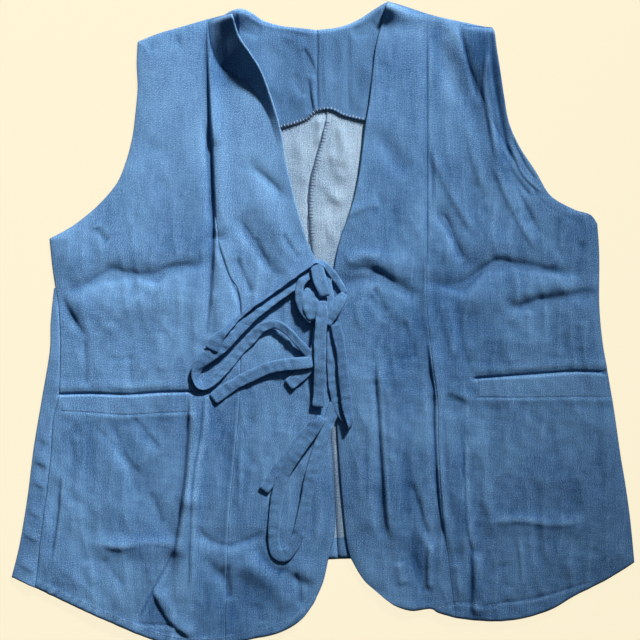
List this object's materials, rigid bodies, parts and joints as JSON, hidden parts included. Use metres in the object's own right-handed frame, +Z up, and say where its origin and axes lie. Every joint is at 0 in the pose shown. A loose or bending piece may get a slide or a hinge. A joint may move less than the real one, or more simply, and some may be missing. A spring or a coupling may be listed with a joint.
{
  "type": "sleeveless denim vest laid flat",
  "caption": "Sleeveless denim vest laid flat, with a V neck, princess seams, welt pockets and cloth ties in a bow.",
  "frame": {"origin": "on the surface under the middle of the vest as it lies, at the centre of the footprint's bounding box", "axes": "+Z up from the surface, +Y towards the neck, +X across the vest, to the right as the front is seen"},
  "size_m": [0.6222, 0.6431, 0.0227],
  "materials": {
    "denim_face": "mid-blue washed denim twill, matt",
    "denim_back": "pale grey-blue reverse of the twill, matt",
    "denim_tie": "turned strips of the same denim, matt",
    "thread": "sewing thread, dark blue, slight sheen"
  },
  "bodies": {
    "root": {"back_left": "denim_back", "back_right": "denim_back", "back_neck_facing": "denim_face", "front_left_side": "denim_face", "front_left_centre": "denim_face", "front_right_centre": "denim_face", "front_right_side": "denim_face", "pocket_welt_left": "denim_face", "pocket_welt_right": "denim_face", "tie_knot": "denim_tie", "tie_root": "denim_tie", "tie_loop_left": "denim_tie", "tie_tail_left": "denim_tie", "tie_tip_left": "denim_tie", "tie_tail_down": "denim_tie", "tie_loop_down": "denim_tie", "tie_lower": "denim_tie"}
  },
  "joints": []
}
